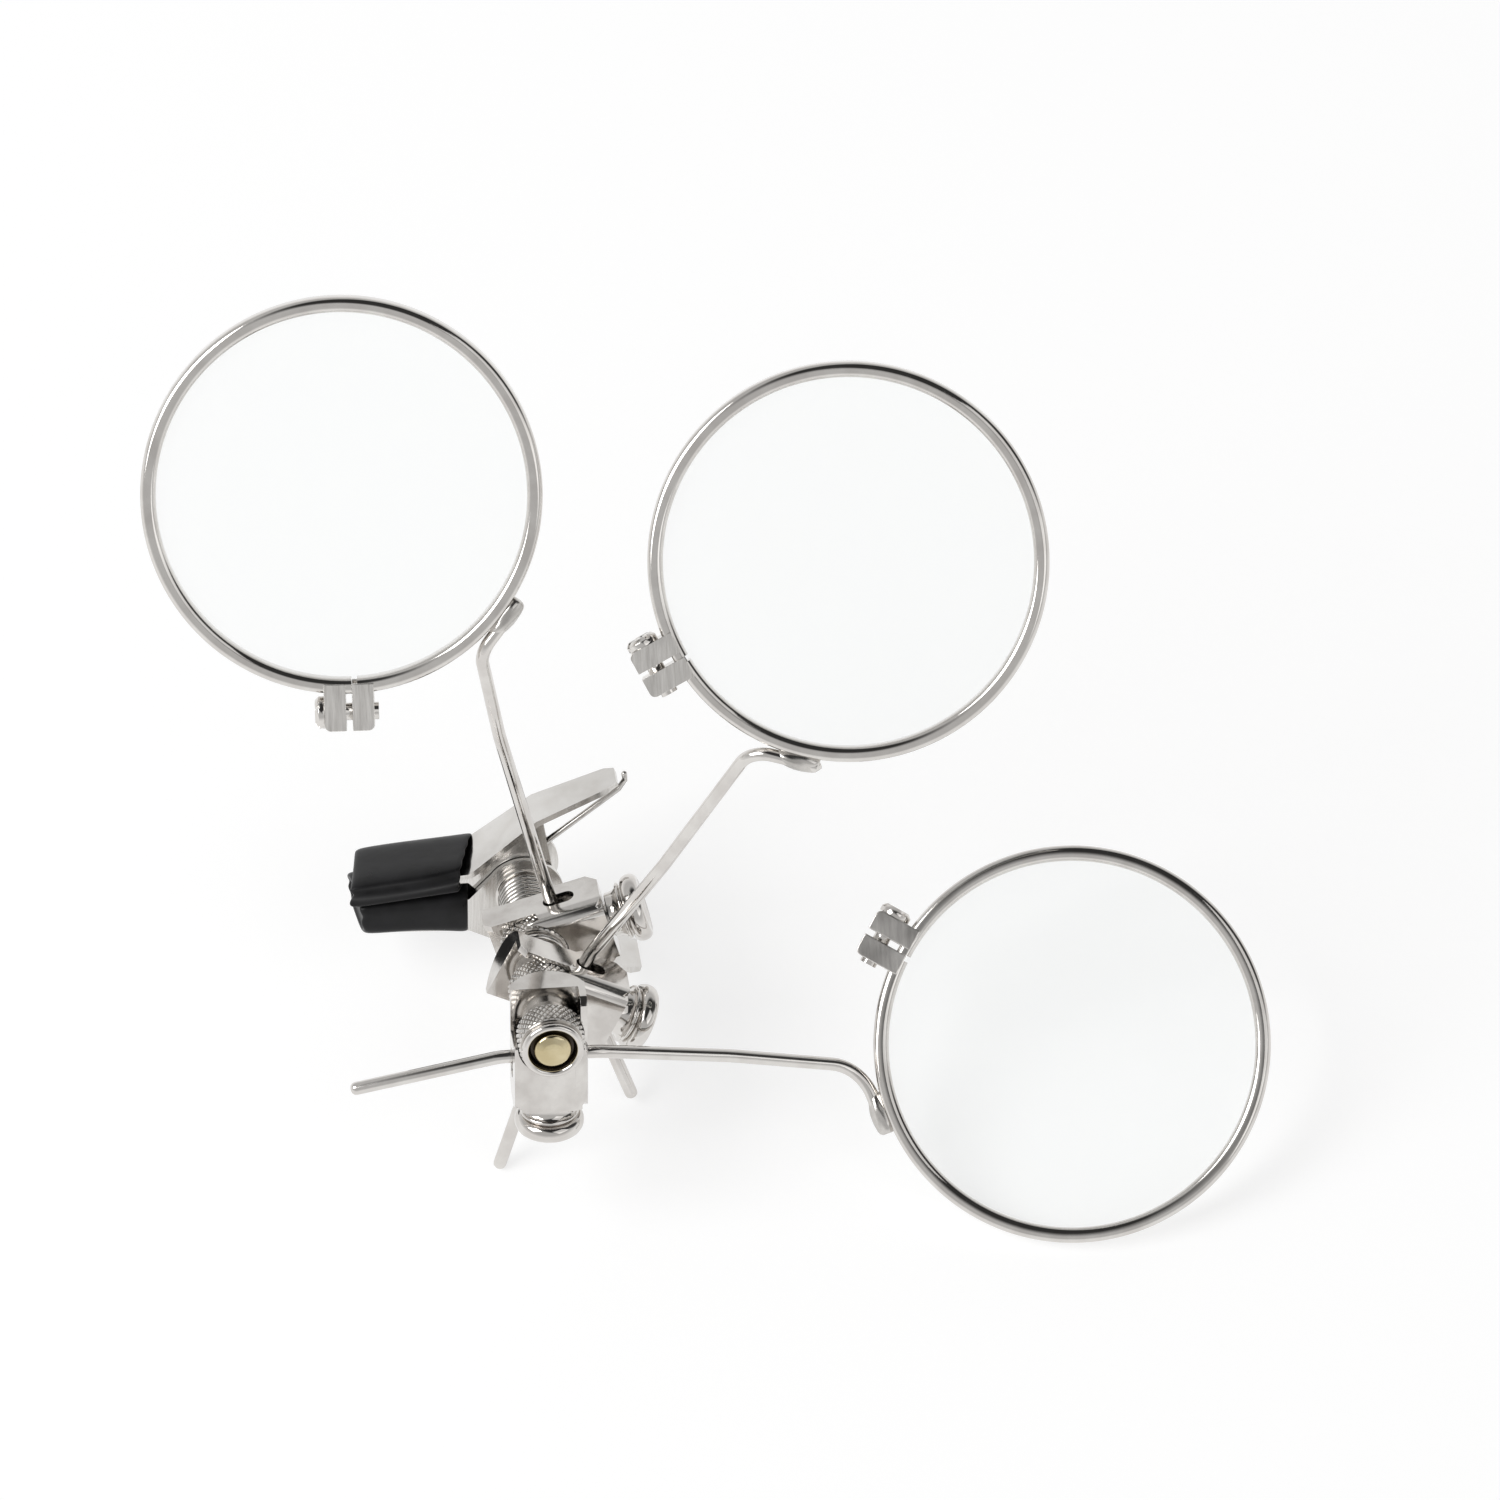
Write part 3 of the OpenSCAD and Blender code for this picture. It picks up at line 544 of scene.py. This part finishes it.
for pattern in (rim_ring, lens_glass, solder_lump):
    bpy.data.objects.remove(pattern)

# ---- brackets, bushes and thumb screws ----
# Diamond knurl: a coarse grid round the bush is poked, its first lines are dissolved, which leaves
# diamonds, and every diamond is raised on its own in two steps.
DIAMONDS, ROWS, GROOVE_R = 34, 3, 2.55
KNURL_FROM, KNURL_TO = -2.5, -0.4
knurl = turned("knurl", [(KNURL_FROM, BORE_R)]
               + [(KNURL_FROM + (KNURL_TO - KNURL_FROM) * k / ROWS, GROOVE_R)
                  for k in range(ROWS + 1)]
               + [(KNURL_TO, BORE_R)], HOME, sides=DIAMONDS, smooth=12)


def on_outer_wall(face):
    return abs(face.normal.z) < 0.5 and face.center.xy.length > 2 * MM


def on_first_line(edge):
    ends = [knurl.data.vertices[v].co for v in edge.vertices]
    steps = [(co.z / MM - KNURL_FROM) / (KNURL_TO - KNURL_FROM) * ROWS for co in ends]
    at_end = all(k < 0.1 for k in steps) or all(k > ROWS - 0.1 for k in steps)
    return (min(co.xy.length / MM for co in ends) > 2
            and all(abs(k - round(k)) < 0.1 for k in steps) and not at_end)


pick(knurl, "FACE", on_outer_wall)
bpy.ops.mesh.poke()
pick(knurl, "EDGE", on_first_line)
bpy.ops.mesh.dissolve_edges(use_verts=False)
pick(knurl, "FACE", on_outer_wall)
bpy.ops.mesh.inset(use_individual=True, thickness=0.05 * MM, depth=0.12 * MM)
bpy.ops.mesh.inset(use_individual=True, thickness=0.07 * MM, depth=0.05 * MM)
bpy.ops.object.mode_set(mode="OBJECT")

lip_curve = [(-3.1 - 0.29 * cos(radians(a)), 2.22 + 0.29 * sin(radians(a)))
             for a in range(105, -91, -15)]
collar = turned("eyelet", [(-2.3, 1.55), (-2.3, 2.4), (-2.9, 2.4), (-2.96, 2.45)] + lip_curve
                + [(-2.62, 1.93), (-2.6, 1.86), (-2.6, 1.4)], HOME, smooth=40)
# A dark liner inside the eyelet, round the rod: a piece put there only to paint the shade of the
# gap.
shade_liner = turned("bore_shade_liner",
               [(-2.5, 1.3), (-2.5, 1.92), (-3.1, 1.92), (-3.14, 1.9), (-3.1, 1.86),
                (-2.75, 1.82), (-2.66, 1.74), (-2.64, 1.3)], HOME, smooth=40)
neck = turned("bush_neck",
              [(-0.5, BORE_R), (-0.5, 2.3), (-0.34, 2.3), (-0.2, 2.1), (1.42, 2.0),
               (1.5, 1.92), (1.5, BORE_R)], HOME, sides=64)
# A thumb screw's head, from its shank out: a hollow neck, a bead, a groove and a round knob.
neck_curve = [(6.8 + 0.8 * sin(radians(a)), 1.85 + 0.45 * (1 - cos(radians(a))))
              for a in range(0, 90, 15)]
bead_curve = [(7.7 + 0.16 * sin(radians(a)), 2.24 + 0.16 * cos(radians(a)))
              for a in range(-60, 91, 30)]
knob_curve = [(8.725 + 0.725 * sin(radians(a)), 2.25 + 0.55 * cos(radians(a)))
              for a in range(-75, 91, 15)]
thumb = turned("thumb_head",
               [(2.96, 0.02), (2.96, 0.75), (3.2, 1.0), (6.52, 1.0), (6.52, 1.75), (6.6, 1.85)]
               + neck_curve + bead_curve + [(7.9, 2.1), (8.0, 2.12)] + knob_curve
               + [(9.2, 1.7), (9.08, 1.2), (9.0, 0.6), (9.0, 0.02)], HOME, smooth=40)

for i in (1, 2, 3):
    body = f"bracket_body_{i}"
    bracket = finished_copy(f"bracket_{i}", f"folded_bracket_{i}", edge=0.14)
    finish(bracket, SHEET, body, "polished_nickel", f"bracket_{i}")
    along = bracket_frame(i) @ rotated(-90, "X")
    outwards = bracket_frame(i) @ rotated(90, "Y")
    # The bore's liner carries the painted shade of the gap round the rod.
    for pattern, metal, smooth in ((knurl, KNURLED, 12), (collar, POLISHED, 40),
                                   (shade_liner, PAINTED_BORE_SHADE, 40), (neck, KNURLED, 35)):
        finish(copied(pattern, f"{pattern.name}_{i}", along, smooth), metal, body,
               "knurled_nickel", f"knurled_bush_{i}")
    finish(copied(thumb, f"thumb_head_{i}", outwards, 40), POLISHED, f"screw_{i}",
           "polished_nickel", f"thumb_screw_{i}")
for pattern in (knurl, collar, shade_liner, neck, thumb):
    bpy.data.objects.remove(pattern)

# ---- rod and what it carries ----
# The rod's front end is turned to a rounded button, and its back end is swaged over the clip.
rod = turned("turned_rod",
             [(-1.02, 0.02), (-1.02, 0.8), (-1.0, 0.88), (-0.88, 1.28), (-0.84, 1.36),
              (-0.74, 1.47), (-0.6, 1.53), (-0.16, 1.53), (-0.12, ROD_R), (27.02, ROD_R),
              (27.02, 2.0), (27.2, 2.02), (27.5, 1.75), (27.62, ROD_R), (27.62, 0.02)],
             along_rod(0), smooth=25)
finish(rod, BRASS, "base", "rod_brass", "rod")
for node, a, b in (("front_spacer", 4.1, 5.5), ("rear_spacer", 10.6, 12.0)):
    spacer = turned("turned_" + node, [(a, BORE_R), (a, 2.05), (a + 0.1, 2.15), (b - 0.1, 2.15),
                                       (b, 2.05), (b, BORE_R)], along_rod(0), sides=64)
    finish(spacer, POLISHED, "base", "polished_nickel", node)
washer = turned("turned_clip_washer",
                [(21.82, BORE_R), (21.82, 2.3), (21.85, 2.36), (21.97, 2.36),
                 (CLIP_FRONT, 2.3), (CLIP_FRONT, BORE_R)], along_rod(0), sides=64)
finish(washer, POLISHED, "base", "polished_nickel", "clip_washer")
spring = wire_coil("friction_coil", r=2.03, wire=0.46, y0=17.3, y1=21.58, curls=8, start=20)
finish(spring, SPRING, "base", "spring_steel", "friction_spring")

# ---- clip ----
for node, name, body in (("clip_lower_jaw", "lower_clip_half", "base"),
                         ("clip_upper_jaw", "upper_clip_half", "upper_jaw")):
    half = finished_copy(node, name, edge=0.07)
    finish(half, BRUSHED, body, "clip_steel", node)
torsion = finished_copy("clip_torsion_spring", "torsion_spring_wire", smooth=75)
torsion.data.materials.append(SPRING)
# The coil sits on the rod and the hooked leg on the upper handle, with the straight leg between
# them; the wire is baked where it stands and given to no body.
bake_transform(torsion)
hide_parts("clip_torsion_spring")


def pulled_on_tube(name, sections, slant_tip, slant_end, folds):
    """A soft tube pulled over a jaw along X. Sections are (x, half depth, z bottom, z top); its
    mouths are cut aslant, and folds is a function that shifts a point of the skin."""
    # It starts as a round tube of 1 mm radius, and a step inwards on it becomes 2.4 times as long.
    thick, inwards, squareness = 0.4, 2.4, 4.5
    first, last = sections[0][0], sections[-1][0]
    bpy.ops.object.select_all(action="DESELECT")
    bpy.ops.mesh.primitive_circle_add(vertices=40, radius=MM, fill_type="NGON",
                                      rotation=(0, -pi / 2, 0), location=(first * MM, 0, 0))
    piece = bpy.context.object
    bpy.ops.object.transform_apply(location=True, rotation=True, scale=True)
    edit_all()
    for a, b in zip(sections, sections[1:]):
        extrude(((b[0] - a[0]) * MM, 0, 0))
    bpy.ops.mesh.select_all(action="SELECT")
    bpy.ops.mesh.normals_make_consistent(inside=False)
    # Both ends become mouths: an inset ring, pushed a little way in.
    for end, push in ((first, 0.35), (last, -1.8)):
        pick(piece, "FACE",
             lambda f: len(f.vertices) > 4 and abs(f.center.x - end * MM) < 0.01 * MM)
        bpy.ops.mesh.inset(thickness=thick / inwards * MM)
        extrude((push * MM, 0, 0))
    bpy.ops.object.mode_set(mode="OBJECT")
    # The round tube is squared to each section, then folded and cut aslant.
    for v in piece.data.vertices:
        x = min(max(v.co.x / MM, first), last)
        a, b = next((a, b) for a, b in zip(sections, sections[1:]) if x <= b[0] + 1e-6)
        f = (x - a[0]) / (b[0] - a[0])
        f = f * f * (3 - 2 * f)
        depth, z0, z1 = (u + (w - u) * f for u, w in zip(a[1:], b[1:]))
        inside = (1 - v.co.yz.length / MM) * inwards
        c, d = v.co.y / v.co.yz.length, v.co.z / v.co.yz.length
        square = (abs(c) ** squareness + abs(d) ** squareness) ** (1 / squareness)
        side, rise = c / square, d / square
        y = side * (depth - inside)
        z = (z0 + z1) / 2 + rise * ((z1 - z0) / 2 - inside)
        t = (x - first) / (last - first)
        slant = y / depth * (slant_tip * (1 - t) + slant_end * t)
        v.co = Vector((v.co.x / MM + slant, y + CLIP_MIDDLE, z)) * MM + folds(t, side, rise) * MM
    soft = piece.modifiers.new("soft", "SUBSURF")
    soft.levels = soft.render_levels = 2
    apply_modifiers(piece)
    return put(piece, name, STAND, 75)


def upper_folds(t, side, rise):
    """Two long soft folds along the front, a wavy cut tip, and a skirt that hangs lower towards
    the tip. t runs from the tip to the end; side and rise are from -1 to 1 across the section."""
    front = max(0, -side)
    skirt = max(0, -rise) * front
    long_folds = 0.13 * sin(3.2 * pi * (rise * 0.75 + 0.16 * sin(2.6 * t + 0.6)) + 0.5)
    fold = (long_folds + 0.06 * sin(9 * t + 3 * rise)) * front
    wave = (0.16 * sin(5 * rise + 1.5) + 0.07 * sin(11 * rise)) * (1 - t) ** 4 * front
    ragged = 0.09 * sin(13 * side + 4 * rise) * t ** 6
    lift = 0.1 * sin(pi * t) * max(0, rise) - (0.75 - 0.75 * t) * skirt
    return Vector((wave + ragged, -fold - 0.16 * skirt, lift))


def lower_folds(t, side, rise):
    """The lower tube leans out to the left at its open tip, and has one faint crease along its
    front."""
    front = max(0, -side)
    crease = 0.06 * sin(4 * rise + 3 * t) * front * max(0, -rise + 0.3)
    lean = -0.12 * rise * (1 - t) ** 3 + 0.08 * sin(7 * rise) * (1 - t) ** 4
    lift = -0.12 * cos(2 * pi * t) * max(0, -rise) + 0.3 * max(0, rise) * (t - 0.3)
    return Vector((lean, crease + 0.1 * front * max(0, rise), lift))


upper = pulled_on_tube("vinyl_upper_sleeve",
                       [(-13.65, 3.0, 0.3, 1.95), (-12.9, 3.1, 0.24, 2.12),
                        (-10, 3.1, 0.46, 2.4), (-7, 3.08, 0.54, 2.68),
                        (-5.0, 3.02, 0.6, 2.98), (-4.5, 3.0, 0.6, 3.05)],
                       slant_tip=0.45, slant_end=0.8, folds=upper_folds)
finish(upper, VINYL, "upper_jaw", "black_sleeve", "upper_jaw_sleeve")
lower = pulled_on_tube("vinyl_lower_sleeve",
                       [(-13.5, 2.9, -3.0, 0.1), (-12.7, 2.95, -3.15, 0.2),
                        (-9, 2.95, -3.2, 0.3), (-6, 3.0, -3.3, 0.3),
                        (-5.0, 3.0, -3.4, 0.3), (-4.3, 3.0, -3.4, 0.3)],
                       slant_tip=-0.3, slant_end=0.3, folds=lower_folds)
finish(lower, VINYL, "base", "black_sleeve", "lower_jaw_sleeve")


# ---- floor, lamps and world ----
def grey(value):
    return (value, value, value, 1)


bpy.ops.object.select_all(action="DESELECT")
bpy.ops.mesh.primitive_plane_add(size=6, location=(0, 0, 0))
floor = bpy.context.object
floor.name = "floor"
paper = bpy.data.materials.new("white_sweep")
paper.use_nodes = True
tree = paper.node_tree
tree.nodes.clear()
# White paper: it lights the part as matt paper does, but seen straight, in metal or through glass
# it glows to white and keeps its shadows.
matt = add_node(tree, "ShaderNodeBsdfDiffuse", {"Color": srgb("F4F4F4")})
glow = add_node(tree, "ShaderNodeEmission", {"Color": srgb("FFFFFF"), "Strength": 0.68})
shaded = add_node(tree, "ShaderNodeBsdfDiffuse", {"Color": grey(0.4)})
white_paper = add_node(tree, "ShaderNodeAddShader", {0: glow.outputs[0], 1: shaded.outputs[0]})
path = add_node(tree, "ShaderNodeLightPath")
seen = add_node(tree, "ShaderNodeMath", {0: path.outputs["Is Camera Ray"],
                                         1: path.outputs["Is Transmission Ray"]},
                operation="MAXIMUM")
seen = add_node(tree, "ShaderNodeMath", {0: seen.outputs[0], 1: path.outputs["Is Glossy Ray"]},
                operation="MAXIMUM")
mixed = add_node(tree, "ShaderNodeMixShader",
                 {"Fac": seen.outputs[0], 1: matt.outputs[0], 2: white_paper.outputs[0]})
add_node(tree, "ShaderNodeOutputMaterial", {"Surface": mixed.outputs[0]})
floor.data.materials.append(paper)

LAMPS_AIM = Vector((0, 0, 0.03))


def lamp(name, power, size, where):
    data = bpy.data.lights.new(name, "AREA")
    data.energy = power
    data.size = size
    o = bpy.data.objects.new(name, data)
    bpy.context.scene.collection.objects.link(o)
    o.location = where
    o.rotation_euler = (LAMPS_AIM - Vector(where)).to_track_quat("-Z", "Y").to_euler()


lamp("soft_key", 5.5, 0.6, (-0.7, -0.1, 0.75))
lamp("soft_fill", 1.6, 0.8, (0.6, -0.5, 0.9))

world = bpy.data.worlds.new("studio")
bpy.context.scene.world = world
world.use_nodes = True
tree = world.node_tree
tree.nodes.clear()
way_out = add_node(tree, "ShaderNodeTexCoord").outputs["Generated"]


def card(behind, direction, inner, outer, value):
    """A soft-edged card hung in the room: its value covers what is behind it, by the angle from a
    direction."""
    dot = add_node(tree, "ShaderNodeVectorMath", {0: way_out, 1: Vector(direction).normalized()},
                   operation="DOT_PRODUCT")
    cover = add_node(tree, "ShaderNodeMapRange",
                     {"Value": dot.outputs["Value"], "From Min": cos(radians(outer)),
                      "From Max": cos(radians(inner))}, interpolation_type="SMOOTHSTEP")
    return add_node(tree, "ShaderNodeMix", {0: cover.outputs["Result"], 2: behind, 3: value},
                    data_type="FLOAT").outputs[0]


# The room is light near the table and grey above it. A dark ceiling stands over the table, a
# little to the right, and a dark card to the right of that.
height = add_node(tree, "ShaderNodeSeparateXYZ", {0: way_out}).outputs["Z"]
room = add_node(tree, "ShaderNodeValToRGB", {"Fac": height},
                stops=[(0.0, grey(0.95)), (0.16, grey(0.8)), (0.36, grey(0.6)),
                       (1.0, grey(0.6))]).outputs["Color"]
room = card(room, (0.337, 0.059, 0.94), 31, 49, 0.04)
room = card(room, (0.86, 0.2, 0.47), 10, 24, 0.06)
sky = add_node(tree, "ShaderNodeBackground", {"Color": room, "Strength": 1.0})
white = add_node(tree, "ShaderNodeBackground", {"Color": (1, 1, 1, 1), "Strength": 1.0})
path = add_node(tree, "ShaderNodeLightPath")
seen = add_node(tree, "ShaderNodeMath", {0: path.outputs["Is Camera Ray"],
                                         1: path.outputs["Is Transmission Ray"]},
                operation="MAXIMUM")
mixed = add_node(tree, "ShaderNodeMixShader",
                 {"Fac": seen.outputs[0], 1: sky.outputs[0], 2: white.outputs[0]})
add_node(tree, "ShaderNodeOutputWorld", {"Surface": mixed.outputs[0]})
bpy.context.scene.view_settings.view_transform = "Standard"

bpy.context.view_layer.update()
